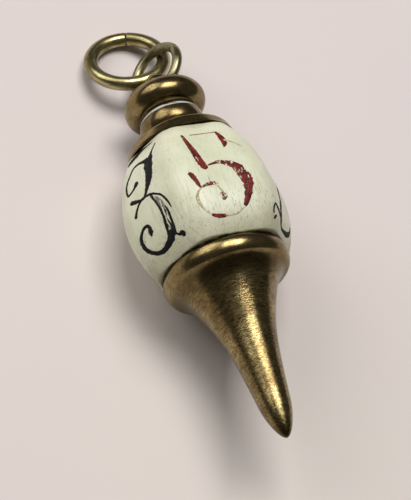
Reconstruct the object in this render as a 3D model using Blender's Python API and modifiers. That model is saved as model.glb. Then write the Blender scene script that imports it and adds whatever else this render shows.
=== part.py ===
"""Number top on a ring: a six-sided bone barrel between two turned brass ends, with two jump rings.

Metres, +Z up. The top lies on one facet of its barrel and on its large ring, with the point towards -Y.
Shapes are modelled about the top's own axis: z = 0 where the point meets the barrel, the knob at +z.
"""
import math

import bmesh
import bpy
from mathutils import Vector

MM = 0.001

# Barrel
BARREL_LENGTH = 18.3 * MM
BARREL_BELLY = 10.2 * MM
BARREL_BELLY_HEIGHT = 7.4 * MM
BARREL_UPPER_ARC = 21.6 * MM
BARREL_LOWER_ARC = 15.4 * MM
BARREL_EDGE_ROUND = 0.42
BARREL_END_ROUND = 0.35 * MM
BORE_RADIUS = 2.6 * MM
# The belly is cut in flat bands, and the top lies on one of them, point raised and knob low
FIRST_BAND = 1.8 * MM
BAND = 2.4 * MM
BANDS = 6
LIE_BAND = 9.0 * MM

# Brass ends
SEAM_GAP = 0.1 * MM
SPIGOT_RADIUS = 2.4 * MM
SPIGOT_LENGTH = 3.0 * MM
SPINDLE_RADIUS = 1.4 * MM
SPINDLE_HOLE = 1.6 * MM
POINT_LENGTH = 25.0 * MM
FLANGE_RADIUS = 8.1 * MM
FLANGE_BORE = 6.9 * MM
COLLAR_RADIUS = 7.75 * MM
COLLAR_TOP = 24.7 * MM
BEAD_RADIUS = 5.8 * MM
BEAD_HEIGHT = 26.98 * MM
NIPPLE_RADIUS = 1.75 * MM
NIPPLE_TOP = 32.5 * MM

# Rings
EYE_HEIGHT = 29.82 * MM
EYE_TURN = math.radians(-52.26)
EYE_HOLE = 1.15 * MM
SMALL_RADIUS = 4.04 * MM
SMALL_WIRE = 0.70 * MM
SMALL_SWING = math.radians(74.57)
LARGE_RADIUS = 5.24 * MM
LARGE_WIRE = 1.0 * MM
# The large ring's place as seen from the small ring's middle
LINK_PLACE = (-3.548 * MM, 4.031 * MM, 1.763 * MM)
LINK_TURN = (math.radians(-3.84), math.radians(42.95), 0.0)

TURN_STEPS = 48


def clear_scene():
    for obj in list(bpy.data.objects):
        bpy.data.objects.remove(obj, do_unlink=True)


def collection(name):
    made = bpy.data.collections.new(name)
    bpy.context.scene.collection.children.link(made)
    return made


def material(name, colour, roughness, metallic):
    made = bpy.data.materials.new(name)
    made.use_nodes = True
    made.diffuse_color = colour
    shader = made.node_tree.nodes["Principled BSDF"]
    shader.inputs["Base Color"].default_value = colour
    shader.inputs["Roughness"].default_value = roughness
    shader.inputs["Metallic"].default_value = metallic
    return made


def arc(centre, size, start, end, count):
    """Points on an ellipse in the profile plane, angles in degrees from the +X side."""
    points = []
    for i in range(count + 1):
        angle = math.radians(start + (end - start) * i / count)
        points.append((centre[0] + size[0] * math.cos(angle), centre[1] + size[1] * math.sin(angle)))
    return points


def bezier(a, b, c, d, count):
    """Points on one cubic curve, without its first point. Values in millimetres."""
    points = []
    for i in range(1, count + 1):
        t = i / count
        s = 1.0 - t
        points.append(tuple(
            MM * (s * s * s * a[k] + 3 * s * s * t * b[k] + 3 * s * t * t * c[k] + t * t * t * d[k]) for k in (0, 1)))
    return points


def place(obj, parts, parent, surface):
    parts.objects.link(obj)
    obj.parent = parent
    obj.data.materials.append(surface)
    return obj


def turned(name, profile, closed, parts, parent, surface):
    """A turned piece: its profile runs down the outer side and is swept round the axis."""
    count = len(profile)
    edges = [(i, i + 1) for i in range(count - 1)]
    if closed:
        edges.append((count - 1, 0))
    mesh = bpy.data.meshes.new(name)
    mesh.from_pydata([(x, 0.0, z) for x, z in profile], edges, [])
    obj = place(bpy.data.objects.new(name, mesh), parts, parent, surface)
    sweep = obj.modifiers.new("Turn", "SCREW")
    sweep.axis = "Z"
    sweep.steps = TURN_STEPS
    sweep.render_steps = TURN_STEPS
    sweep.use_merge_vertices = True
    sweep.merge_threshold = 0.00001
    sweep.use_smooth_shade = True
    return obj


def point_profile():
    """Bored out under its flange, so that the bone stands on a rim and the point is light."""
    profile = [(0.0, -9.6 * MM), (SPINDLE_HOLE, -9.6 * MM), (SPINDLE_HOLE, -7.6 * MM), (2.4 * MM, -7.2 * MM)]
    profile += [(5.9 * MM, -1.9 * MM), (FLANGE_BORE, -1.2 * MM), (FLANGE_BORE, 0.0), (FLANGE_RADIUS, 0.0)]
    profile += bezier((8.1, 0.0), (8.62, -0.35), (8.72, -2.0), (7.95, -2.3), 8)
    profile += bezier((7.95, -2.3), (6.2, -2.6), (4.75, -6.6), (3.8, -9.7), 8)
    profile += bezier((3.8, -9.7), (3.04, -12.2), (2.48, -17.0), (2.1, -20.2), 6)
    profile += bezier((2.1, -20.2), (1.85, -22.4), (0.75, -25.0), (0.0, -25.0), 7)
    profile[-1] = (0.0, -POINT_LENGTH)
    return profile


def collar_profile():
    low = BARREL_LENGTH + SEAM_GAP
    profile = [(SPINDLE_HOLE, COLLAR_TOP), (3.95 * MM, COLLAR_TOP)]
    profile += bezier((3.95, 24.7), (4.75, 24.55), (4.75, 22.2), (4.1, 21.9), 7)
    profile += bezier((4.1, 21.9), (4.0, 20.9), (4.9, 20.2), (6.8, 20.05), 6)
    profile += bezier((6.8, 20.05), (7.2, 20.05), (7.4, 19.9), (7.47, 19.6), 3)
    profile += [(COLLAR_RADIUS, low + 0.15 * MM), (COLLAR_RADIUS - 0.1 * MM, low), (SPIGOT_RADIUS, low)]
    profile += [(SPIGOT_RADIUS, low - SPIGOT_LENGTH), (SPINDLE_HOLE, low - SPIGOT_LENGTH)]
    return profile


def knob_profile():
    low = COLLAR_TOP + SEAM_GAP
    dome_foot = NIPPLE_TOP - 1.7 * MM
    profile = arc((0.0, dome_foot), (NIPPLE_RADIUS, 1.7 * MM), 90.0, 0.0, 5)
    profile[0] = (0.0, NIPPLE_TOP)
    profile += bezier((1.75, 30.8), (1.75, 29.7), (1.9, 29.15), (2.6, 29.0), 4)
    profile += arc((3.55 * MM, BEAD_HEIGHT), (BEAD_RADIUS - 3.55 * MM, 2.15 * MM), 80.0, -71.0, 14)
    profile += [(4.2 * MM, low), (SPINDLE_HOLE, low), (SPINDLE_HOLE, 28.0 * MM), (0.0, 28.0 * MM)]
    return profile


def spindle_profile():
    low = -9.3 * MM
    high = 27.7 * MM
    chamfer = 0.3 * MM
    return [(0.0, high), (SPINDLE_RADIUS - chamfer, high), (SPINDLE_RADIUS, high - chamfer),
            (SPINDLE_RADIUS, low + chamfer), (SPINDLE_RADIUS - chamfer, low), (0.0, low)]


def inradius(height):
    """Distance from the axis to the middle of a facet."""
    offset = height - BARREL_BELLY_HEIGHT
    arc_radius = BARREL_UPPER_ARC if offset > 0.0 else BARREL_LOWER_ARC
    return BARREL_BELLY - arc_radius + math.sqrt(arc_radius ** 2 - offset ** 2)


def barrel_section(reach):
    """A hexagon with rounded corners, facets square to the axis directions -Y and +Y."""
    rounding = BARREL_EDGE_ROUND * reach
    corner = (reach - rounding) * 2.0 / math.sqrt(3.0)
    points = []
    for side in range(6):
        heading = math.radians(60.0 * side)
        centre = Vector((math.cos(heading), math.sin(heading))) * corner
        for step in range(7):
            turn = heading + math.radians(-30.0 + 10.0 * step)
            points.append(centre + Vector((math.cos(turn), math.sin(turn))) * rounding)
        middle = heading + math.radians(30.0)
        points.append(Vector((math.cos(middle), math.sin(middle))) * reach)
    return points


def barrel(parts, parent, surface):
    """The barrel: sections stacked along the axis, flat ends and a bore, as one closed body."""
    low = SEAM_GAP
    heights = [low] + [FIRST_BAND + BAND * i for i in range(BANDS + 1)] + [BARREL_LENGTH]
    stations = [(height, inradius(height)) for height in heights]
    first, last = stations[0][1], stations[-1][1]
    stations[0] = (low + BARREL_END_ROUND, stations[0][1] + 0.1 * MM)
    stations[-1] = (BARREL_LENGTH - BARREL_END_ROUND, stations[-1][1] + 0.1 * MM)
    stations.insert(0, (low, first - BARREL_END_ROUND))
    stations.append((BARREL_LENGTH, last - BARREL_END_ROUND))
    form = bmesh.new()
    loops = []
    for height, reach in stations:
        loops.append([form.verts.new((p.x, p.y, height)) for p in barrel_section(reach)])
    count = len(loops[0])
    for height in (BARREL_LENGTH, low):
        ring = []
        for p in barrel_section(BARREL_BELLY):
            away = Vector((p.x, p.y)).normalized() * BORE_RADIUS
            ring.append(form.verts.new((away.x, away.y, height)))
        loops.append(ring)
    loops.append(loops[0])
    for lower, upper in zip(loops, loops[1:]):
        for i in range(count):
            j = (i + 1) % count
            face = form.faces.new((lower[i], lower[j], upper[j], upper[i]))
            face.smooth = True
    bmesh.ops.recalc_face_normals(form, faces=form.faces)
    mesh = bpy.data.meshes.new("bone_barrel")
    form.to_mesh(mesh)
    form.free()
    return place(bpy.data.objects.new("bone_barrel", mesh), parts, parent, surface)


def empty(name, parts, parent, location, rotation):
    made = bpy.data.objects.new(name, None)
    made.empty_display_size = 3.0 * MM
    parts.objects.link(made)
    made.parent = parent
    made.location = location
    made.rotation_euler = rotation
    return made


def wire_ring(name, radius, wire, parts, hinge, location, rotation, surface):
    """A closed jump ring, placed from its hinge."""
    bpy.ops.mesh.primitive_torus_add(
        major_radius=radius, minor_radius=wire, major_segments=48, minor_segments=14, location=(0.0, 0.0, 0.0))
    obj = bpy.context.object
    obj.name = name
    obj.data.name = name
    for holder in list(obj.users_collection):
        holder.objects.unlink(obj)
    place(obj, parts, hinge, surface)
    obj.location = location
    obj.rotation_euler = rotation
    for face in obj.data.polygons:
        face.use_smooth = True
    return obj


def drill_eye(knob, cutters, parent):
    """The cross hole through the nipple."""
    bpy.ops.mesh.primitive_cylinder_add(vertices=32, radius=EYE_HOLE, depth=4.2 * MM)
    drill = bpy.context.object
    drill.name = "eye_drill"
    for holder in list(drill.users_collection):
        holder.objects.unlink(drill)
    cutters.objects.link(drill)
    drill.parent = parent
    drill.location = (0.0, 0.0, EYE_HEIGHT + 0.15 * MM)
    drill.rotation_euler = (0.0, math.radians(90.0), EYE_TURN)
    drill.hide_render = True
    drill.display_type = "WIRE"
    cut = knob.modifiers.new("Eye", "BOOLEAN")
    cut.operation = "DIFFERENCE"
    cut.solver = "EXACT"
    cut.object = drill


def settle(pieces, lying):
    """Moves the lying top so that it stands on z = 0, centred on the origin."""
    bpy.context.view_layer.update()
    graph = bpy.context.evaluated_depsgraph_get()
    low = Vector((1e9, 1e9, 1e9))
    high = -low
    for piece in pieces:
        shown = piece.evaluated_get(graph)
        mesh = shown.to_mesh()
        for vert in mesh.vertices:
            spot = shown.matrix_world @ vert.co
            low = Vector(map(min, low, spot))
            high = Vector(map(max, high, spot))
        shown.to_mesh_clear()
    lying.location = (-(low.x + high.x) / 2, -(low.y + high.y) / 2, -low.z)


def build():
    clear_scene()
    parts = collection("number_top")
    cutters = collection("cutters")
    brass = material("turned brass", (0.36, 0.27, 0.11, 1.0), 0.32, 1.0)
    dark_brass = material("spindle brass", (0.40, 0.30, 0.13, 1.0), 0.45, 1.0)
    small_brass = material("small ring brass", (0.33, 0.28, 0.15, 1.0), 0.34, 1.0)
    large_brass = material("large ring brass", (0.42, 0.34, 0.13, 1.0), 0.28, 1.0)
    collar_brass = material("collar brass", (0.35, 0.26, 0.11, 1.0), 0.30, 1.0)
    knob_brass = material("knob brass", (0.38, 0.28, 0.12, 1.0), 0.28, 1.0)
    bone = material("bone", (0.80, 0.76, 0.63, 1.0), 0.38, 0.0)

    tilt = math.atan((inradius(LIE_BAND) - inradius(LIE_BAND + BAND)) / BAND)
    lying = empty("lying_top", parts, None, (0.0, 0.0, 0.0), (-(math.pi / 2 + tilt), 0.0, 0.0))
    eye = empty("eye_hinge", parts, lying, (0.0, 0.0, EYE_HEIGHT), (SMALL_SWING, 0.0, EYE_TURN))
    link = empty("link_hinge", parts, eye, (0.0, SMALL_RADIUS, 0.0), (0.0, 0.0, 0.0))

    pieces = [
        turned("point", point_profile(), False, parts, lying, brass),
        barrel(parts, lying, bone),
        turned("spindle", spindle_profile(), False, parts, lying, dark_brass),
        turned("collar", collar_profile(), True, parts, lying, collar_brass),
        turned("knob", knob_profile(), False, parts, lying, knob_brass),
        wire_ring("small_ring", SMALL_RADIUS, SMALL_WIRE, parts, eye,
                  (0.0, SMALL_RADIUS, 0.0), (0.0, 0.0, 0.0), small_brass),
        wire_ring("large_ring", LARGE_RADIUS, LARGE_WIRE, parts, link, LINK_PLACE, LINK_TURN, large_brass),
    ]
    drill_eye(pieces[4], cutters, lying)
    settle(pieces, lying)


build()
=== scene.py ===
"""Looks of the number top: bone barrel with painted numerals, turned brass ends, two jump rings.

Metres, +Z up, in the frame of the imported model. Shapes along the top's own axis are in the barrel's frame:
z = 0 where the point meets the barrel, the knob at +z, headings counted from +X.
"""
import math

import bmesh
import bpy
from mathutils import Euler, Matrix, Vector, noise


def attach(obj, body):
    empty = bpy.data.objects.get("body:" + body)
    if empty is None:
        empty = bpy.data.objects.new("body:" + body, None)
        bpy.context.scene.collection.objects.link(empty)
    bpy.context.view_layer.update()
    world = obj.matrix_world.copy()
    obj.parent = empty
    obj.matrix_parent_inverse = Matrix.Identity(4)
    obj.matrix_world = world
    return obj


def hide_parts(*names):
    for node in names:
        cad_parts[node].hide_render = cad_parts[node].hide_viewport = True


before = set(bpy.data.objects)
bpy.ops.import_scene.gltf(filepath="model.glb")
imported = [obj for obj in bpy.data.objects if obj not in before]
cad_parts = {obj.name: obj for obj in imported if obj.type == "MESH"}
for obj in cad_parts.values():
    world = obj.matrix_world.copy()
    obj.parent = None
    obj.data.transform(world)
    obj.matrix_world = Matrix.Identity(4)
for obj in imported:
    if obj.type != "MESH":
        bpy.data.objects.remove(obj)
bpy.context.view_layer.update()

MM = 0.001


def colour(red, green, blue):
    """A linear colour from 0 to 255 screen values."""
    screen = (red, green, blue)
    return tuple(((c / 255 + 0.055) / 1.055) ** 2.4 if c > 10 else c / 3294 for c in screen) + (1.0,)


# How the top lies, as in the part's source
LIE_TILT = math.radians(7.4597)
SEAM_MIDDLE = Vector((0.0, -0.009199, 0.011223))
TOP = Matrix.Translation(SEAM_MIDDLE) @ Matrix.Rotation(-(math.pi / 2 + LIE_TILT), 4, "X")
AXIS = tuple(TOP.to_3x3() @ Vector((0.0, 0.0, 1.0)))

# The nipple's cross hole, and the two rings that hang from it, as in the part's source
EYE_HEIGHT = 29.82 * MM
EYE_TURN = math.radians(-52.26)
EYE_HOLE = 1.15 * MM
EYE_HOLE_RISE = 0.15 * MM
EYE_DRILL_LENGTH = 4.2 * MM
SMALL_SWING = math.radians(74.57)
SMALL_RADIUS = 4.04 * MM
SMALL_WIRE = 0.70 * MM
LARGE_RADIUS = 5.24 * MM
LARGE_WIRE = 1.0 * MM
LARGE_OFFSET = (-3.548 * MM, 4.031 * MM, 1.763 * MM)
LARGE_TURN = (math.radians(-3.84), math.radians(42.95), 0.0)
SMALL_PLACE = (TOP @ Matrix.Translation((0.0, 0.0, EYE_HEIGHT))
               @ Euler((SMALL_SWING, 0.0, EYE_TURN)).to_matrix().to_4x4()
               @ Matrix.Translation((0.0, SMALL_RADIUS, 0.0)))
LARGE_PLACE = (SMALL_PLACE @ Matrix.Translation(LARGE_OFFSET)
               @ Euler(LARGE_TURN).to_matrix().to_4x4())

# The rings' cut ends: the angle where they meet, their gap, their filed edges and the dark line there
SMALL_SEAM = 0.42
LARGE_SEAM = 1.51
SEAM_GAP = 0.006 * MM
FILED_END = 0.95
SEAM_LINE = (0.12 * MM, 0.04 * MM)
SEAM_SIDE = (0.0, 1.0 * MM)

# The wire's unevenness: its height and its length
WIRE_UNEVEN = 0.012 * MM
WIRE_UNEVEN_LENGTH = 1.6 * MM

# Barrel: its two ends, its belly, the two arcs of its outline, its rounded edges and its unevenness
BARREL_LOW = 0.1 * MM
BARREL_HIGH = 18.3 * MM
BARREL_BELLY = 10.2 * MM
BARREL_BELLY_HEIGHT = 7.4 * MM
BARREL_UPPER_ARC = 21.6 * MM
BARREL_LOWER_ARC = 15.4 * MM
BARREL_EDGE_ROUND = 0.42
BARREL_END_ROUND = 0.18 * MM
BARREL_UNEVEN = 0.030 * MM
BARREL_UNEVEN_LENGTH = 3.2 * MM
BORE_RADIUS = 2.6 * MM
FACETS = 6
HALF_FACET = math.pi / FACETS
STEEPEST_LEAN_SINE = 0.9

# How far above the floor the barrel and its paint are pressed flat where they rest
BARREL_REST = 0.02 * MM
PAINT_REST = 0.004 * MM

# Steps of the meshes
LATHE_SIDES = 96
DRILL_SIDES = 48
RING_STEPS = 120
WIRE_SIDES = 24
RIM_STEPS = 3
BELLY_STEPS = 36
FLAT_STEPS = 8
EDGE_STEPS = 5
STROKE_STEPS = 8

# A turned edge that bends by more than this stays crisp
CUT_EDGE = math.radians(38.0)

# Brass of the turned pieces, and the heights in millimetres where patina starts, is full, fades and ends
BRASS_BRIGHT = colour(172, 159, 112)
BRASS_DEEP = colour(108, 84, 48)
BRASS_TARNISH = colour(66, 43, 21)
BRASS_PATINA = colour(40, 26, 11)
# Painted highlight: a whitish tone for the line where the collar's bead edge catches the light
PAINTED_HIGHLIGHT_WHITE = colour(206, 207, 199)
POINT_HOLLOWS = [(-4.8, -3.2, -2.6, -2.1), (-26.2, -25.4, -24.6, -23.0)]
COLLAR_HOLLOWS = [(19.7, 20.3, 21.4, 22.1)]
KNOB_HOLLOWS = [(23.8, 24.4, 24.8, 25.6), (28.3, 28.8, 29.2, 30.0)]
# Heights on the collar's upper bead where the painted highlight line starts and is full
COLLAR_PAINTED_HIGHLIGHT = (23.95 * MM, 24.20 * MM)
PATINA_SHARE = 0.50
PATINA_UNEVEN = 1.2 * MM

# Turning lines: pace along the axis and outwards, drift on the way round, where the deep ones begin
LINES_ALONG = 900.0
LINES_OUTWARD = 780.0
LINES_DRIFT = 0.50
LINES_FAINT = 0.30
SPIKE_LINES = (-2.6 * MM, -6.0 * MM)
LINE_DEPTH = 0.03 * MM

# Brass wire of the rings: bright, deep and tarnished tones, and the pace of the drawing lines
SMALL_RING_TONES = colour(156, 150, 116), colour(116, 109, 80), colour(76, 69, 50)
LARGE_RING_TONES = colour(188, 178, 132), colour(136, 124, 82), colour(92, 80, 52)
SEAM_TONE = colour(40, 34, 22)
DRAWN_SIDEWAYS = 1500.0
DRAWN_OUTWARD = 1300.0
DRAWN_DRIFT = 0.8
KNOCK_DEPTH = 0.05 * MM

# Bone: its tones, the heights its stains, darkening and painted shade run between, its drawn-out fibres, its
# relief and its glow
BONE_PALE = colour(225, 227, 202)
BONE_WARM = colour(213, 215, 187)
BONE_FIBRE = colour(189, 183, 154)
BONE_THREAD = colour(140, 130, 102)
BONE_PORE = colour(112, 96, 70)
# Tone the bone takes towards its bottom, near the flange
FOOT_DARK_TONE = colour(156, 148, 117)
HEAD_TONE = colour(160, 148, 118)
# Painted shade with some grime: a dark band on the bone's ends next to the brass, where the flange and the
# collar overhang it
SEAM_SHADE_AND_GRIME_TONE = colour(44, 36, 26)
STREAKS_FADE = (9.5 * MM, 3.0 * MM)
FOOT_DARKENING_HEIGHTS = (4.2 * MM, 0.4 * MM)
HEAD_STAIN = (16.4 * MM, 18.4 * MM)
FOOT_SHADE_AND_GRIME = (0.48 * MM, 0.34 * MM)
FOOT_SHADE_AND_GRIME_REACH = (8.8 * MM, 8.3 * MM)
FOOT_SHADE_AND_GRIME_RAGGED = 0.5 * MM
HEAD_SHADE_AND_GRIME = (17.7 * MM, 18.0 * MM)
HEAD_SHADE_AND_GRIME_RAGGED = 0.6 * MM
FIBRE_DRAW = 0.955
BONE_RELIEF = 0.25
BONE_RELIEF_DEPTH = 0.04 * MM
BONE_GLOW = (1.2 * MM, 0.9 * MM, 0.6 * MM)

# Paints: thin tone, thick tone, how much is rubbed away, and how far the rubbing follows the bone's fibres
PAINTS = {
    "ink": (colour(16, 15, 14), colour(8, 8, 8), 0.02, 0.4),
    "rubbed ink": (colour(26, 25, 22), colour(12, 12, 11), 0.17, 0.8),
    "grey ink": (colour(138, 136, 124), colour(112, 110, 100), 0.08, 0.8),
    "red paint": (colour(118, 40, 31), colour(82, 22, 20), 0.07, 0.5),
    "rubbed red": (colour(122, 44, 36), colour(84, 22, 22), 0.15, 0.5),
    "thin red": (colour(142, 64, 50), colour(110, 44, 34), 0.10, 0.3),
    "trace": (colour(190, 176, 138), colour(168, 150, 112), 0.17, 0.3),
}
RUB_DRAW = 0.88
RUB_EDGE = (0.66, 0.72)

# Strokes: cross section (share of half width, lift in millimetres), round ends, layers and ragged edge
STROKE_SECTION = ((-1.06, -0.012), (-0.88, 0.018), (0.0, 0.024), (0.88, 0.018), (1.06, -0.012))
STROKE_END = ((0.5, 0.87), (0.87, 0.5), (1.0, 0.08))
STROKE_LAYER = 0.003
STROKE_RAGGED = 0.30
RAGGED_PACE = 4.6
RAGGED_SIDES = 5.0
RAGGED_LAYERS = 3.1

# Numerals by facet heading: strokes of a paint and its points (across, up, half width in millimetres)
NUMERALS = {
    30: ("one", [
        ("red paint", [(-2.3, 11.4, 0.29), (-3.0, 11.8, 0.14), (-2.7, 12.8, 0.12), (-1.2, 13.5, 0.12),
                       (0.4, 15.6, 0.19)]),
        ("red paint", [(0.4, 15.6, 0.24), (0.7, 12.6, 0.53), (0.6, 8.6, 0.60), (0.2, 4.8, 0.43),
                       (-0.8, 2.6, 0.17), (-2.1, 2.3, 0.14), (-2.7, 3.2, 0.14), (-2.0, 3.8, 0.26)]),
        ("thin red", [(-0.6, 2.4, 0.12), (0.9, 2.2, 0.18), (2.3, 2.0, 0.14), (3.0, 2.8, 0.08)]),
    ]),
    90: ("four", [
        ("ink", [(1.3, 15.9, 0.14), (-0.5, 12.4, 0.14), (-2.5, 8.8, 0.17), (-3.6, 6.9, 0.12)]),
        ("ink", [(-2.9, 5.3, 0.29), (-3.7, 5.4, 0.14), (-3.9, 6.5, 0.14), (-1.8, 6.6, 0.31),
                 (1.2, 6.2, 0.36), (3.5, 6.9, 0.12)]),
        ("rubbed ink", [(1.3, 15.9, 0.19), (1.5, 12.2, 0.53), (1.3, 7.4, 0.62), (0.9, 4.2, 0.43),
                        (-0.1, 2.3, 0.17), (-1.3, 2.1, 0.14), (-1.5, 3.0, 0.24)]),
    ]),
    150: ("six", [
        ("ink", [(2.4, 13.2, 0.31), (3.0, 14.2, 0.14), (1.8, 15.6, 0.14), (-0.5, 14.8, 0.29)]),
        ("rubbed ink", [(-0.5, 14.8, 0.26), (-2.6, 12.0, 0.55), (-3.3, 8.4, 0.70), (-2.7, 4.8, 0.55),
                        (-0.8, 2.4, 0.24)]),
        ("ink", [(-0.8, 2.4, 0.24), (1.5, 2.5, 0.34), (3.0, 4.6, 0.53), (2.7, 7.1, 0.34),
                 (1.0, 8.6, 0.17), (-0.8, 7.9, 0.14), (-1.1, 6.6, 0.26)]),
    ]),
    210: ("three", [
        ("grey ink", [(1.2, 8.3, 0.31), (1.6, 7.4, 0.45), (1.8, 6.0, 0.61), (1.8, 4.9, 0.62),
                      (1.7, 3.9, 0.58), (1.3, 3.0, 0.53)]),
        ("rubbed ink", [(1.7, 6.4, 0.20), (1.8, 5.5, 0.46), (1.7, 4.6, 0.56), (1.7, 3.8, 0.56),
                        (1.4, 3.0, 0.53)]),
        ("ink", [(2.5, 16.7, 0.13), (2.0, 16.1, 0.18), (1.6, 15.4, 0.30), (1.4, 14.8, 0.68),
                 (1.1, 14.2, 0.88), (1.1, 13.2, 0.74), (1.0, 12.2, 0.68), (0.7, 11.4, 0.60),
                 (0.3, 10.8, 0.40), (-0.1, 10.2, 0.28), (-0.6, 9.7, 0.22), (-1.3, 9.6, 0.18),
                 (-2.0, 9.2, 0.18), (-2.5, 8.7, 0.20), (-2.9, 8.1, 0.28)]),
        ("ink", [(0.7, 15.0, 0.40), (-0.2, 15.4, 0.24), (-1.2, 15.7, 0.20), (-2.0, 15.6, 0.18),
                 (-2.8, 14.7, 0.18), (-3.4, 13.8, 0.20), (-3.6, 12.9, 0.20), (-3.4, 11.9, 0.16),
                 (-2.8, 11.9, 0.16), (-2.1, 12.2, 0.21), (-1.6, 12.6, 0.42)]),
        ("ink", [(-3.0, 10.4, 0.32), (-2.1, 10.0, 0.26), (-1.3, 9.7, 0.20), (-0.6, 9.7, 0.20),
                 (0.0, 9.6, 0.18), (0.8, 9.3, 0.15), (1.5, 8.8, 0.14), (2.2, 8.2, 0.14),
                 (2.7, 7.3, 0.14), (3.0, 6.4, 0.14), (3.1, 5.7, 0.08)]),
        ("ink", [(0.6, 9.1, 0.22), (0.9, 8.3, 0.17), (1.2, 7.3, 0.16), (1.4, 6.3, 0.18),
                 (1.4, 5.3, 0.21), (1.2, 4.4, 0.26), (1.0, 3.6, 0.21), (0.7, 2.9, 0.19)]),
        ("ink", [(2.3, 6.3, 0.08), (2.4, 5.5, 0.17), (2.3, 4.5, 0.19), (2.2, 3.7, 0.17),
                 (2.0, 3.0, 0.16), (1.8, 2.6, 0.18)]),
        ("ink", [(1.3, 2.9, 0.54), (0.7, 2.4, 0.49), (-0.1, 2.1, 0.39), (-1.1, 1.9, 0.30),
                 (-2.1, 2.1, 0.25), (-2.8, 2.6, 0.25), (-3.4, 3.3, 0.28), (-3.6, 4.1, 0.32),
                 (-3.5, 4.9, 0.30), (-3.1, 5.4, 0.24), (-2.4, 5.9, 0.21), (-1.7, 5.9, 0.21),
                 (-1.4, 5.5, 0.29), (-1.5, 4.9, 0.37), (-1.6, 4.5, 0.20)]),
        ("ink", [(1.8, 2.6, 0.13), (2.2, 2.2, 0.16), (2.6, 2.1, 0.30), (2.8, 1.9, 0.35)]),
        ("ink", [(-3.1, 17.2, 0.30), (-2.2, 17.5, 0.40), (-1.3, 17.7, 0.42), (-0.6, 17.8, 0.30),
                 (0.4, 17.7, 0.14), (1.6, 17.6, 0.09)]),
    ]),
    270: ("five", [
        ("red paint", [(-2.8, 15.7, 0.19), (-2.7, 14.1, 0.31), (-2.5, 12.4, 0.43), (-2.3, 10.6, 0.50),
                       (-2.0, 9.4, 0.46)]),
        ("thin red", [(-1.7, 15.6, 0.08), (-0.3, 15.6, 0.08), (0.8, 15.6, 0.07), (1.9, 15.6, 0.10)]),
        ("red paint", [(1.9, 15.5, 0.19), (2.1, 14.2, 0.41), (2.1, 13.1, 0.36), (1.8, 12.4, 0.10)]),
        ("trace", [(2.3, 13.7, 0.12), (3.2, 13.1, 0.09), (4.1, 12.2, 0.07)]),
        ("red paint", [(-1.4, 9.6, 0.10), (-0.6, 9.8, 0.19), (0.2, 9.9, 0.29)]),
        ("rubbed red", [(0.1, 9.9, 0.26), (1.4, 9.4, 0.48), (2.3, 8.5, 0.66), (2.8, 7.1, 0.74)]),
        ("red paint", [(2.9, 7.3, 0.70), (2.9, 6.4, 0.70), (2.8, 5.5, 0.58), (2.3, 4.2, 0.41),
                       (1.7, 3.2, 0.26)]),
        ("trace", [(1.5, 3.0, 0.10), (0.3, 2.3, 0.12), (-1.3, 2.2, 0.12)]),
        ("trace", [(-2.8, 2.5, 0.12), (-3.8, 3.4, 0.16), (-4.3, 4.7, 0.20), (-4.0, 5.8, 0.14),
                   (-3.1, 6.6, 0.10)]),
        ("trace", [(-1.4, 6.5, 0.10), (-0.9, 5.5, 0.12), (-0.8, 5.0, 0.14)]),
        ("rubbed red", [(-1.0, 5.1, 0.20), (-0.7, 4.8, 0.30), (-0.9, 4.4, 0.24)]),
        ("red paint", [(-4.2, 8.6, 0.29), (-3.9, 7.9, 0.31), (-3.7, 7.0, 0.24), (-3.5, 6.4, 0.14)]),
        ("red paint", [(-2.9, 2.5, 0.17), (-2.2, 2.3, 0.26), (-1.4, 2.2, 0.22)]),
        ("rubbed red", [(-3.2, 6.4, 0.12), (-2.3, 6.7, 0.24), (-1.3, 6.7, 0.24)]),
    ]),
    330: ("two", [
        ("ink", [(-0.4, 12.6, 0.36), (-0.6, 13.8, 0.15), (0.4, 15.3, 0.17), (2.0, 15.2, 0.31)]),
        ("rubbed ink", [(2.0, 15.2, 0.31), (2.9, 13.2, 0.52), (2.4, 10.6, 0.46), (0.9, 8.4, 0.36),
                        (-0.6, 6.6, 0.34)]),
        ("ink", [(0.1, 7.6, 0.34), (-0.6, 6.6, 0.38), (-0.9, 5.4, 0.42), (-1.5, 4.0, 0.40),
                 (-1.6, 3.1, 0.44), (-1.7, 2.4, 0.42), (-1.7, 1.7, 0.32), (-1.3, 1.2, 0.20)]),
        ("ink", [(-1.3, 1.2, 0.20), (0.9, 1.4, 0.36), (2.5, 2.1, 0.30), (3.2, 3.2, 0.12)]),
        ("ink", [(-4.5, 2.2, 0.14), (-4.5, 2.8, 0.15), (-4.1, 3.5, 0.15), (-3.5, 3.3, 0.24),
                 (-2.8, 3.1, 0.30), (-2.2, 2.8, 0.31)]),
        ("ink", [(-4.3, 1.5, 0.13), (-4.1, 1.7, 0.18), (-3.9, 1.9, 0.14)]),
    ]),
}

# Stage
FLOOR_HALF = 3.0
FLOOR_TONES = colour(222, 211, 209), colour(225, 216, 210)
LAMP_TARGET = (0.0, 0.0, 0.01)
LAMP_TINT = (1.0, 0.99, 0.97)
ROOM_TINT = (0.50, 0.49, 0.47, 1.0)
ROOM_LEVEL = 0.16
CAMERA_PLACE = (-0.067684, -0.079069, 0.183214)
CAMERA_RIGHT = Vector((0.93149, -0.27197, 0.24156))
CAMERA_BACK = Vector((-0.33257, -0.36768, 0.86845))
CAMERA_LENS = 109.07
CAMERA_SENSOR = 36.0
CAMERA_NEAR = 0.01

# The sockets of a Mix node in its colour form
MIX_FACTOR = 0
MIX_FIRST = 6
MIX_SECOND = 7
MIX_RESULT = 2


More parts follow.
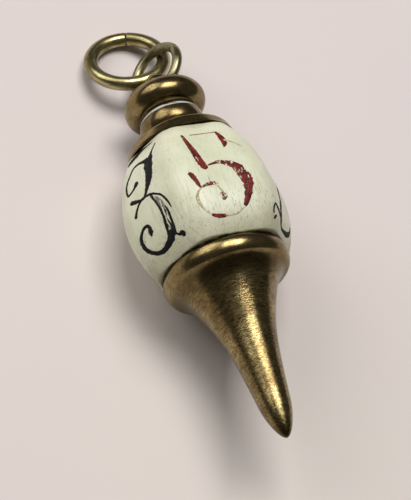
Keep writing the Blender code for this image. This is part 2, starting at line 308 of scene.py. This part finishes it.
class Value:
    """A number on a shader wire. Python's operators on these add Math nodes."""

    def __init__(self, finish, socket):
        self.finish = finish
        self.socket = socket

    def maths(self, operation, *terms):
        made = self.finish.node("ShaderNodeMath", {"operation": operation}, dict(enumerate(terms)))
        return Value(self.finish, made.outputs[0])

    def __add__(self, other):
        return self.maths("ADD", self, other)

    def __radd__(self, other):
        return self.maths("ADD", other, self)

    def __sub__(self, other):
        return self.maths("SUBTRACT", self, other)

    def __rsub__(self, other):
        return self.maths("SUBTRACT", other, self)

    def __mul__(self, other):
        return self.maths("MULTIPLY", self, other)

    def __rmul__(self, other):
        return self.maths("MULTIPLY", other, self)

    def highest(self, other):
        return self.maths("MAXIMUM", self, other)

    def size(self):
        return self.maths("ABSOLUTE", self)

    def ease(self, start, end):
        """0 before start, 1 after end, smooth between; start may be the larger."""
        made = self.finish.node(
            "ShaderNodeMapRange", {"interpolation_type": "SMOOTHSTEP", "clamp": True},
            {"Value": self, "From Min": start, "From Max": end, "To Min": 0.0, "To Max": 1.0})
        return Value(self.finish, made.outputs[0])


class Finish:
    """A material with one Principled shader, and the nodes that feed it."""

    def __init__(self, name):
        self.material = bpy.data.materials.new(name)
        self.material.use_nodes = True
        self.nodes = self.material.node_tree.nodes
        self.links = self.material.node_tree.links
        self.shader = self.nodes["Principled BSDF"]

    def node(self, kind, settings=None, sockets=None):
        """Adds a node: its settings first, then a value or a link for each socket."""
        made = self.nodes.new(kind)
        for key, value in (settings or {}).items():
            setattr(made, key, value)
        for key, value in (sockets or {}).items():
            self.feed(made.inputs[key], value)
        return made

    def feed(self, socket, value):
        if isinstance(value, Value):
            self.links.new(value.socket, socket)
        elif isinstance(value, bpy.types.NodeSocket):
            self.links.new(value, socket)
        else:
            socket.default_value = value

    def set(self, **sockets):
        """Feeds the Principled shader; underscores in a name stand for spaces."""
        for key, value in sockets.items():
            self.feed(self.shader.inputs[key.replace("_", " ")], value)

    def place(self):
        return self.node("ShaderNodeTexCoord").outputs["Object"]

    def vector_maths(self, operation, sockets):
        return self.node("ShaderNodeVectorMath", {"operation": operation}, sockets).outputs

    def vector(self, operation, *terms):
        return self.vector_maths(operation, dict(enumerate(terms)))["Vector"]

    def scaled(self, vector, factor):
        return self.vector_maths("SCALE", {0: vector, "Scale": factor})["Vector"]

    def along(self, vector, direction):
        return Value(self, self.vector_maths("DOT_PRODUCT", {0: vector, 1: direction})["Value"])

    def length(self, vector):
        return Value(self, self.vector_maths("LENGTH", {0: vector})["Value"])

    def drawn_out(self, vector, direction, share):
        """A place squeezed along a direction, so that noise on it is drawn out into streaks."""
        return self.vector("SUBTRACT", vector, self.scaled(direction, self.along(vector, direction) * share))

    def noise(self, vector, scale, detail, roughness):
        made = self.node("ShaderNodeTexNoise", {}, {
            "Vector": vector, "Scale": scale, "Detail": detail, "Roughness": roughness})
        return Value(self, made.outputs[0])

    def blend(self, factor, first, second):
        """Colour mix: first at 0, second at 1."""
        made = self.node("ShaderNodeMix", {"data_type": "RGBA"}, {
            MIX_FACTOR: factor, MIX_FIRST: first, MIX_SECOND: second})
        return made.outputs[MIX_RESULT]

    def bump(self, height, strength, depth):
        made = self.node("ShaderNodeBump", {}, {"Height": height, "Strength": strength, "Distance": depth})
        return made.outputs["Normal"]


def barrel_axes(finish):
    """Height along the top's axis, distance from it and the spoke out to the place on the object."""
    offset = finish.vector("SUBTRACT", finish.place(), tuple(SEAM_MIDDLE))
    height = finish.along(offset, AXIS)
    spoke = finish.vector("SUBTRACT", offset, finish.scaled(AXIS, height))
    return height, finish.length(spoke), spoke


def turned_brass(name, lines, polish, hollows, highlight_heights=None):
    """Aged brass from the lathe: fine lines round the axis, dark hollows, cloudy tarnish and specks; where
    highlight heights are given, a painted highlight, a whitish line where the bead's edge would catch the
    light.
    """
    finish = Finish(name)
    height, reach, spoke = barrel_axes(finish)
    drift = finish.scaled(finish.vector("NORMALIZE", spoke), LINES_DRIFT)
    track = finish.vector("ADD", drift, finish.scaled(AXIS, height * LINES_ALONG + reach * LINES_OUTWARD))
    coarse = finish.noise(track, scale=3.6, detail=2.0, roughness=0.6)
    fine = finish.noise(track, scale=11.0, detail=2.0, roughness=0.65)
    clouds = finish.noise(finish.place(), scale=240.0, detail=4.0, roughness=0.6)
    specks = finish.noise(finish.place(), scale=3800.0, detail=2.0, roughness=0.6)
    grip = LINES_FAINT + height.ease(*SPIKE_LINES) * (1.0 - LINES_FAINT)
    cut = 0.5 + (coarse * 0.22 + fine * 0.78 - 0.5) * grip
    cloudy = clouds.ease(0.40, 0.66)
    base = finish.blend(cut.ease(0.40, 0.60), BRASS_DEEP, BRASS_BRIGHT)
    base = finish.blend(cloudy * 0.5, base, BRASS_TARNISH)
    base = finish.blend(specks.ease(0.56, 0.70) * 0.7, base, BRASS_TARNISH)
    uneven = height + (clouds - 0.5) * PATINA_UNEVEN
    for start, full, fading, end in hollows:
        hollow = uneven.ease(start * MM, full * MM) * height.ease(end * MM, fading * MM)
        base = finish.blend(hollow * PATINA_SHARE, base, BRASS_PATINA)
    rough = polish + cloudy * 0.08 + (fine - 0.5) * grip * 0.16
    metal = 1.0
    if highlight_heights:
        # Painted highlight: a whitish, duller and less metallic line on the collar's bead, standing in for
        # light caught by its edge
        painted_highlight = height.ease(*highlight_heights) * coarse.ease(0.22, 0.42)
        base = finish.blend(painted_highlight, base, PAINTED_HIGHLIGHT_WHITE)
        rough = rough + painted_highlight * 0.3
        metal = 1.0 - painted_highlight * 0.9
    finish.set(Base_Color=base, Metallic=metal, Roughness=rough,
               Normal=finish.bump(cut, strength=lines, depth=LINE_DEPTH))
    return finish.material


def bone_look(finish):
    """Colour, roughness and height of the bone at a place, shared by the barrel and by worn paint on it."""
    height, reach, _ = barrel_axes(finish)
    place = finish.place()
    drawn = finish.drawn_out(place, AXIS, FIBRE_DRAW)
    fibre = finish.noise(drawn, scale=2600.0, detail=3.0, roughness=0.6)
    threads = finish.noise(drawn, scale=7000.0, detail=2.0, roughness=0.6)
    pores = finish.noise(drawn, scale=4200.0, detail=1.0, roughness=0.4).ease(0.735, 0.775)
    patches = finish.noise(place, scale=180.0, detail=3.0, roughness=0.55)
    ragged = finish.noise(place, scale=900.0, detail=3.0, roughness=0.6)
    streaky = 0.35 + height.ease(*STREAKS_FADE) * 0.65
    # Darker towards the bottom of the bone, near the flange, in patches
    foot_darkening = height.ease(*FOOT_DARKENING_HEIGHTS) * (0.35 + patches * 0.9)
    head = height.ease(*HEAD_STAIN) * (0.20 + patches * 0.5)
    # Painted shade with grime: a dark band at both ends of the bone; at the foot only where the flange
    # overhangs the facets
    low_shade_and_grime = (height + ragged * FOOT_SHADE_AND_GRIME_RAGGED).ease(*FOOT_SHADE_AND_GRIME) * reach.ease(*FOOT_SHADE_AND_GRIME_REACH)
    seam_shade_and_grime = low_shade_and_grime.highest((height - ragged * HEAD_SHADE_AND_GRIME_RAGGED).ease(*HEAD_SHADE_AND_GRIME))
    base = finish.blend(patches.ease(0.36, 0.66), BONE_PALE, BONE_WARM)
    base = finish.blend(fibre.ease(0.48, 0.72) * streaky * 0.60, base, BONE_FIBRE)
    base = finish.blend(threads.ease(0.56, 0.70) * streaky * 0.65, base, BONE_THREAD)
    base = finish.blend(foot_darkening * 0.55, base, FOOT_DARK_TONE)
    base = finish.blend(head * 0.6, base, HEAD_TONE)
    base = finish.blend(pores * 0.7, base, BONE_PORE)
    base = finish.blend(seam_shade_and_grime * 0.92, base, SEAM_SHADE_AND_GRIME_TONE)
    rough = 0.28 + fibre * 0.14 + foot_darkening * 0.15
    rise = fibre * 0.6 + threads * 0.4 - pores
    return base, rough, rise


def bone_finish():
    finish = Finish("bone")
    base, rough, rise = bone_look(finish)
    finish.set(Base_Color=base, Roughness=rough, IOR=1.5,
               Subsurface_Weight=0.12, Subsurface_Radius=BONE_GLOW, Subsurface_Scale=1.0,
               Normal=finish.bump(rise, strength=BONE_RELIEF, depth=BONE_RELIEF_DEPTH))
    return finish.material


def paint_look(name, tone, thick, wear, streaks):
    """Paint in the bone's surface: where it is rubbed away, the bone under it shows."""
    finish = Finish(name)
    bone, rough, rise = bone_look(finish)
    place = finish.place()
    streaked = finish.noise(finish.drawn_out(place, AXIS, RUB_DRAW), scale=3600.0, detail=3.0, roughness=0.65)
    dabbed = finish.noise(place, scale=1500.0, detail=4.0, roughness=0.65)
    rubbed = streaked * streaks + dabbed * (1.0 - streaks)
    bare = rubbed.ease(RUB_EDGE[0] - wear, RUB_EDGE[1] - wear)
    pooled = finish.noise(place, scale=1100.0, detail=3.0, roughness=0.6).ease(0.42, 0.60)
    finish.set(Base_Color=finish.blend(bare, finish.blend(pooled, tone, thick), bone),
               Roughness=rough + 0.25 * (1.0 - bare), Specular_IOR_Level=0.2,
               Normal=finish.bump(rise, strength=BONE_RELIEF, depth=BONE_RELIEF_DEPTH))
    return finish.material


def ring_brass(name, place, seam, tones, polish):
    """Drawn brass wire: faint lines along it, dull patches, small knocks and the dark line of its seam."""
    bright, deep, tarnish = tones
    finish = Finish(name)
    offset = finish.vector("SUBTRACT", finish.place(), tuple(place.translation))
    turn = place.to_3x3()
    axis = tuple(turn @ Vector((0.0, 0.0, 1.0)))
    rise = finish.along(offset, axis)
    spoke = finish.vector("SUBTRACT", offset, finish.scaled(axis, rise))
    drift = finish.scaled(finish.vector("NORMALIZE", spoke), DRAWN_DRIFT)
    across = rise * DRAWN_SIDEWAYS + finish.length(spoke) * DRAWN_OUTWARD
    lines = finish.noise(finish.vector("ADD", drift, finish.scaled(axis, across)),
                         scale=2.4, detail=3.0, roughness=0.6)
    clouds = finish.noise(finish.place(), scale=420.0, detail=4.0, roughness=0.6)
    knocks = finish.noise(finish.place(), scale=1500.0, detail=2.0, roughness=0.5)
    outward = tuple(turn @ Vector((math.cos(seam), math.sin(seam), 0.0)))
    sideways = tuple(turn @ Vector((-math.sin(seam), math.cos(seam), 0.0)))
    seam_line = finish.along(offset, sideways).size().ease(*SEAM_LINE)
    joint = seam_line * finish.along(offset, outward).ease(*SEAM_SIDE)
    base = finish.blend(lines.ease(0.35, 0.65), deep, bright)
    base = finish.blend(clouds.ease(0.45, 0.70) * 0.6, base, tarnish)
    base = finish.blend(joint * 0.9, base, SEAM_TONE)
    finish.set(Base_Color=base, Metallic=1.0, Roughness=polish + clouds * 0.14 + lines * 0.06,
               Normal=finish.bump(lines * 0.5 + knocks, strength=0.22, depth=KNOCK_DEPTH))
    return finish.material


def finished(name, form, body, material, lowest=0.0):
    """Turns a bmesh into a piece that rides on a body, pressed flat where it would sink into the floor."""
    for corner in form.verts:
        corner.co.z = max(corner.co.z, lowest)
    mesh = bpy.data.meshes.new(name)
    bmesh.ops.recalc_face_normals(form, faces=form.faces)
    form.to_mesh(mesh)
    form.free()
    for face in mesh.polygons:
        face.use_smooth = True
    mesh.materials.append(material)
    piece = bpy.data.objects.new(name, mesh)
    bpy.context.scene.collection.objects.link(piece)
    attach(piece, body)
    return piece


def curve(a, b, c, d, count):
    """Points on one cubic curve of a turned profile, without its first point."""
    points = []
    for step in range(1, count + 1):
        t = step / count
        shares = ((1.0 - t) ** 3, 3.0 * t * (1.0 - t) ** 2, 3.0 * t * t * (1.0 - t), t ** 3)
        pulls = list(zip(shares, (a, b, c, d)))
        points.append(tuple(sum(share * spot[k] for share, spot in pulls) for k in (0, 1)))
    return points


def arc(centre, size, start, end, count):
    """Points on an ellipse of a turned profile, angles in degrees from the outer side."""
    turns = [math.radians(start + (end - start) * step / count) for step in range(count + 1)]
    return [(centre[0] + size[0] * math.cos(turn), centre[1] + size[1] * math.sin(turn)) for turn in turns]


def point_profile():
    """Bored out under the flange; the outer side runs from the flange's lip down the cove and the spike."""
    return ([(0.0, -9.6), (1.6, -9.6), (1.6, -7.6), (2.4, -7.2)]
            + [(5.9, -1.9), (6.9, -1.2), (6.9, 0.0), (8.1, 0.0)]
            + curve((8.1, 0.0), (8.82, -0.05), (8.72, -2.0), (7.95, -2.3), count=20)
            + curve((7.95, -2.3), (6.2, -2.6), (4.75, -6.6), (3.8, -9.7), count=20)
            + curve((3.8, -9.7), (3.04, -12.2), (2.48, -17.0), (2.1, -20.2), count=12)
            + curve((2.1, -20.2), (1.85, -22.4), (0.75, -25.0), (0.0, -25.0), count=14)[:-1] + [(0.0, -25.0)])


def collar_profile():
    """Bead, cove and thin rim, and the spigot that sits in the bone."""
    return ([(1.6, 24.7), (3.95, 24.7)]
            + curve((3.95, 24.7), (4.75, 24.55), (4.75, 22.2), (4.1, 21.9), count=18)
            + curve((4.1, 21.9), (4.0, 20.9), (4.9, 20.2), (6.8, 20.05), count=14)
            + curve((6.8, 20.05), (7.2, 20.05), (7.4, 19.9), (7.47, 19.6), count=6)
            + [(7.75, 18.55), (7.65, 18.4), (2.4, 18.4), (2.4, 15.4), (1.6, 15.4)])


def knob_profile():
    """Nipple, then the bead of the finger grip, bored from below for the spindle."""
    return ([(0.0, 32.5)] + arc((0.0, 30.8), (1.75, 1.7), start=90.0, end=0.0, count=10)[1:]
            + curve((1.75, 30.8), (1.75, 29.7), (1.9, 29.15), (2.6, 29.0), count=8)
            + arc((3.55, 26.98), (2.25, 2.15), start=80.0, end=-71.0, count=30)
            + [(4.2, 24.8), (1.6, 24.8), (1.6, 28.0), (0.0, 28.0)])


def lathe(profile, closed=False):
    """A profile of (radius, height) in millimetres, swept round the top's axis."""
    form = bmesh.new()
    turns = [2.0 * math.pi * k / LATHE_SIDES for k in range(LATHE_SIDES)]
    rings = []
    for radius, height in profile:
        if radius == 0.0:
            rings.append([form.verts.new(TOP @ Vector((0.0, 0.0, height * MM)))] * LATHE_SIDES)
            continue
        spots = [Vector((radius * math.cos(turn), radius * math.sin(turn), height)) * MM for turn in turns]
        rings.append([form.verts.new(TOP @ spot) for spot in spots])
    if closed:
        rings.append(rings[0])
    for upper, lower in zip(rings, rings[1:]):
        for k in range(LATHE_SIDES):
            after = (k + 1) % LATHE_SIDES
            form.faces.new(list(dict.fromkeys((upper[k], lower[k], lower[after], upper[after]))))
    bmesh.ops.recalc_face_normals(form, faces=form.faces)
    return form


def drilled(form):
    """The knob with the cross hole through its nipple."""
    hole = bmesh.new()
    bmesh.ops.create_cone(hole, cap_ends=True, segments=DRILL_SIDES, radius1=EYE_HOLE, radius2=EYE_HOLE,
                          depth=EYE_DRILL_LENGTH)
    hole.transform(TOP @ Matrix.Translation((0.0, 0.0, EYE_HEIGHT + EYE_HOLE_RISE))
                   @ Euler((0.0, math.pi / 2, EYE_TURN)).to_matrix().to_4x4())
    solids = []
    for name, shape in (("blank", form), ("drill", hole)):
        mesh = bpy.data.meshes.new(name)
        shape.to_mesh(mesh)
        shape.free()
        solids.append(bpy.data.objects.new(name, mesh))
        bpy.context.scene.collection.objects.link(solids[-1])
    blank, drill = solids
    cut = blank.modifiers.new("cut", "BOOLEAN")
    cut.operation = "DIFFERENCE"
    cut.solver = "EXACT"
    cut.object = drill
    shown = blank.evaluated_get(bpy.context.evaluated_depsgraph_get())
    form = bmesh.new()
    form.from_mesh(shown.to_mesh())
    shown.to_mesh_clear()
    for solid in solids:
        bpy.data.objects.remove(solid)
    return form


def turned(name, node, form, material):
    """A turned brass piece in place of its CAD node, smooth except at its cut edges."""
    piece = finished(name, form, "top", material)
    piece.data.set_sharp_from_angle(angle=CUT_EDGE)
    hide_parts(node)


def barrel_radius(height):
    """Distance from the axis to the middle of a facet."""
    offset = height - BARREL_BELLY_HEIGHT
    bow = BARREL_UPPER_ARC if offset > 0.0 else BARREL_LOWER_ARC
    return BARREL_BELLY - bow + math.sqrt(bow ** 2 - offset ** 2)


def facet_flat(inner):
    """Radius of the barrel's rounded edges, and half the width of a facet between them."""
    rounding = BARREL_EDGE_ROUND * inner
    return rounding, (inner - rounding) * math.tan(HALF_FACET)


def on_barrel(facing, across, height, lift=0.0, radius=None):
    """A point on the barrel: across the facet from its middle, up the axis, lifted off the surface."""
    inner = radius or barrel_radius(height)
    rounding, flat = facet_flat(inner)
    over = abs(across) - flat
    out = inner
    lean = 0.0
    if over > 0.0:
        lean = math.asin(min(over / rounding, STEEPEST_LEAN_SINE))
        out = inner - rounding + rounding * math.cos(lean)
        lean = math.copysign(lean, across)
    away = Vector((math.cos(facing), math.sin(facing), 0.0))
    side = Vector((-math.sin(facing), math.cos(facing), 0.0))
    spot = away * out + side * across + Vector((0.0, 0.0, height))
    normal = away * math.cos(lean) + side * math.sin(lean)
    uneven = noise.noise(spot / BARREL_UNEVEN_LENGTH) * BARREL_UNEVEN
    return spot + normal * (lift + uneven)


def rim_level(end, inward, step):
    """Height and facet distance on the soft rim at one end; inward is the sign of the way to the belly."""
    turn = math.pi / 2 * step / RIM_STEPS
    height = end + inward * BARREL_END_ROUND * (1.0 - math.cos(turn))
    return height, barrel_radius(height) - BARREL_END_ROUND * (1.0 - math.sin(turn))


def bone_barrel(material):
    """Six facets that swell to a belly, with rounded edges and soft end rims, drilled through."""
    first, last = BARREL_LOW + BARREL_END_ROUND, BARREL_HIGH - BARREL_END_ROUND
    belly = [first + (last - first) * step / BELLY_STEPS for step in range(1, BELLY_STEPS)]
    levels = [rim_level(BARREL_LOW, 1.0, step) for step in range(RIM_STEPS + 1)]
    levels += [(height, barrel_radius(height)) for height in belly]
    levels += [rim_level(BARREL_HIGH, -1.0, step) for step in range(RIM_STEPS, -1, -1)]
    bends = [math.sin(HALF_FACET * k / EDGE_STEPS) for k in range(1, EDGE_STEPS + 1)]
    form = bmesh.new()
    loops = []
    for height, inner in levels:
        rounding, flat = facet_flat(inner)
        steps = [-flat - rounding * bend for bend in reversed(bends)]
        steps += [flat * (2 * k / FLAT_STEPS - 1) for k in range(FLAT_STEPS + 1)]
        steps += [flat + rounding * bend for bend in bends[:-1]]
        loop = []
        for facet in range(FACETS):
            facing = HALF_FACET * (2 * facet + 1)
            loop += [form.verts.new(TOP @ on_barrel(facing, across, height, 0.0, inner)) for across in steps]
        loops.append(loop)
    count = len(loops[0])
    turns = [2.0 * math.pi * k / count for k in range(count)]
    bore = [Vector((BORE_RADIUS * math.cos(turn), BORE_RADIUS * math.sin(turn), 0.0)) for turn in turns]
    for height in (BARREL_HIGH, BARREL_LOW):
        loops.append([form.verts.new(TOP @ (spot + Vector((0.0, 0.0, height)))) for spot in bore])
    loops.append(loops[0])
    for lower, upper in zip(loops, loops[1:]):
        for k in range(count):
            form.faces.new((lower[k], lower[(k + 1) % count], upper[(k + 1) % count], upper[k]))
    piece = finished("barrel", form, "top", material, BARREL_REST)
    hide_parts("bone_barrel")


def drawn_line(points):
    """A smooth line through its points, each with its half width."""
    line = []
    for k in range(len(points) - 1):
        a, b, c, d = (Vector(points[min(max(k + n, 0), len(points) - 1)]) for n in (-1, 0, 1, 2))
        for step in range(STROKE_STEPS):
            t = step / STROKE_STEPS
            line.append(0.5 * (2.0 * b + (c - a) * t + (2.0 * a - 5.0 * b + 4.0 * c - d) * t * t
                               + (3.0 * b - a - 3.0 * c + d) * t ** 3))
    line.append(Vector(points[-1]))
    return line


def round_end(spot, before):
    """Points past the end of a stroke, which narrow to a round tip."""
    along = spot - before
    along.z = 0.0
    along.normalize()
    cap = []
    for reach, share in STROKE_END:
        tip = spot + along * (reach * spot.z)
        tip.z = spot.z * share
        cap.append(tip)
    return cap


def brushed(form, facing, points, layer, paint):
    """One stroke of paint: a low ribbon that follows the facet, with round ends and an uneven edge."""
    line = drawn_line(points)
    line = round_end(line[0], line[1])[::-1] + line + round_end(line[-1], line[-2])
    rows = []
    for k, spot in enumerate(line):
        ahead = line[min(k + 1, len(line) - 1)] - line[max(k - 1, 0)]
        side = Vector((-ahead.y, ahead.x)).normalized()
        row = []
        for share, lift in STROKE_SECTION:
            sideways = spot.x * RAGGED_PACE + share * RAGGED_SIDES
            seed = Vector((sideways, spot.y * RAGGED_PACE, layer * RAGGED_LAYERS))
            ragged = 1.0 + STROKE_RAGGED * noise.noise(seed)
            across = (spot.x + side.x * share * spot.z * ragged) * MM
            up = (spot.y + side.y * share * spot.z * ragged) * MM
            raised = (lift + STROKE_LAYER * layer) * MM
            row.append(form.verts.new(TOP @ on_barrel(facing, across, up, raised)))
        rows.append(row)
    for lower, upper in zip(rows, rows[1:]):
        for k in range(len(STROKE_SECTION) - 1):
            form.faces.new((lower[k], lower[k + 1], upper[k + 1], upper[k])).material_index = paint


def numerals():
    """The painted figure of each facet, as one piece per facet."""
    order = list(PAINTS)
    paints = [paint_look(name, *look) for name, look in PAINTS.items()]
    for heading, (name, strokes) in NUMERALS.items():
        form = bmesh.new()
        for layer, (paint, points) in enumerate(strokes):
            brushed(form, math.radians(heading), points, layer, order.index(paint))
        piece = finished("numeral_" + name, form, "top", paints[0], PAINT_REST)
        for paint in paints[1:]:
            piece.data.materials.append(paint)


def jump_ring(name, node, place, radius, wire, seam, material):
    """A ring bent from round wire, its two cut ends closed to a hairline seam."""
    form = bmesh.new()
    gap = SEAM_GAP / radius
    loops = []
    for k in range(RING_STEPS + 1):
        turn = seam + gap + (2.0 * math.pi - 2.0 * gap) * k / RING_STEPS
        outward = Vector((math.cos(turn), math.sin(turn), 0.0))
        thick = wire * (FILED_END if k in (0, RING_STEPS) else 1.0)
        loop = []
        for j in range(WIRE_SIDES):
            wire_turn = 2.0 * math.pi * j / WIRE_SIDES
            spot = outward * radius
            spot += (outward * math.cos(wire_turn) + Vector((0.0, 0.0, math.sin(wire_turn)))) * thick
            spot += outward * noise.noise(spot / WIRE_UNEVEN_LENGTH) * WIRE_UNEVEN
            loop.append(form.verts.new(place @ spot))
        loops.append(loop)
    for lower, upper in zip(loops, loops[1:]):
        for j in range(WIRE_SIDES):
            after = (j + 1) % WIRE_SIDES
            form.faces.new((lower[j], lower[after], upper[after], upper[j]))
    form.faces.new(loops[0])
    form.faces.new(list(reversed(loops[-1])))
    piece = finished(name, form, node, material)
    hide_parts(node)


def floor():
    """A plain pale floor, well past the edge of the picture."""
    corners = [(-1.0, -1.0), (1.0, -1.0), (1.0, 1.0), (-1.0, 1.0)]
    mesh = bpy.data.meshes.new("floor")
    mesh.from_pydata([(x * FLOOR_HALF, y * FLOOR_HALF, 0.0) for x, y in corners], [], [(0, 1, 2, 3)])
    finish = Finish("pale floor")
    clouds = finish.noise(finish.place(), scale=9.0, detail=3.0, roughness=0.5)
    finish.set(Base_Color=finish.blend(clouds.ease(0.3, 0.7), *FLOOR_TONES),
               Roughness=0.75, Specular_IOR_Level=0.25)
    mesh.materials.append(finish.material)
    made = bpy.data.objects.new("floor", mesh)
    bpy.context.scene.collection.objects.link(made)


def lamp(name, place, size, watts):
    light = bpy.data.lights.new(name, "AREA")
    light.shape = "RECTANGLE"
    light.size, light.size_y = size
    light.energy = watts
    light.color = LAMP_TINT
    made = bpy.data.objects.new(name, light)
    made.location = place
    made.rotation_euler = (Vector(LAMP_TARGET) - Vector(place)).to_track_quat("-Z", "Y").to_euler()
    bpy.context.scene.collection.objects.link(made)


def studio():
    """A soft lamp overhead and a larger soft panel on the left, in a dim room."""
    lamp("ceiling", place=(0.08, 0.22, 0.82), size=(0.48, 0.44), watts=5.6)
    lamp("left_panel", place=(-0.66, 0.62, 0.74), size=(0.80, 0.80), watts=5.4)
    world = bpy.data.worlds.new("room")
    bpy.context.scene.world = world
    world.use_nodes = True
    background = world.node_tree.nodes["Background"]
    background.inputs["Color"].default_value = ROOM_TINT
    background.inputs["Strength"].default_value = ROOM_LEVEL


def camera():
    """The photograph's point of view: close by, above the top, towards its point and to the left."""
    lens = bpy.data.cameras.new("camera")
    lens.sensor_width = CAMERA_SENSOR
    lens.lens = CAMERA_LENS
    lens.clip_start = CAMERA_NEAR
    made = bpy.data.objects.new("camera", lens)
    right = CAMERA_RIGHT.normalized()
    back = (CAMERA_BACK - right * CAMERA_BACK.dot(right)).normalized()
    turn = Matrix((right, back.cross(right), back)).transposed()
    made.matrix_world = Matrix.Translation(CAMERA_PLACE) @ turn.to_4x4()
    bpy.context.scene.collection.objects.link(made)
    bpy.context.scene.camera = made


def repaint(node, material):
    """Gives a CAD node that is kept its finish."""
    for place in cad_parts[node].material_slots:
        place.material = material


def dress():
    camera()
    floor()
    studio()
    turned("brass_point", "point", lathe(point_profile()),
           turned_brass("point brass", lines=1.0, polish=0.21, hollows=POINT_HOLLOWS))
    turned("brass_collar", "collar", lathe(collar_profile(), closed=True),
           turned_brass("collar brass", lines=0.45, polish=0.19, hollows=COLLAR_HOLLOWS,
                        highlight_heights=COLLAR_PAINTED_HIGHLIGHT))
    turned("brass_knob", "knob", drilled(lathe(knob_profile())),
           turned_brass("knob brass", lines=0.40, polish=0.19, hollows=KNOB_HOLLOWS))
    repaint("spindle", turned_brass("spindle brass", lines=0.30, polish=0.30, hollows=[]))
    bone_barrel(bone_finish())
    numerals()
    small = ring_brass("small ring brass", SMALL_PLACE, SMALL_SEAM, SMALL_RING_TONES, polish=0.24)
    large = ring_brass("large ring brass", LARGE_PLACE, LARGE_SEAM, LARGE_RING_TONES, polish=0.20)
    jump_ring("small_jump_ring", "small_ring", SMALL_PLACE, SMALL_RADIUS, SMALL_WIRE, SMALL_SEAM, small)
    jump_ring("large_jump_ring", "large_ring", LARGE_PLACE, LARGE_RADIUS, LARGE_WIRE, LARGE_SEAM, large)


dress()
bpy.context.scene.view_settings.view_transform = "Standard"
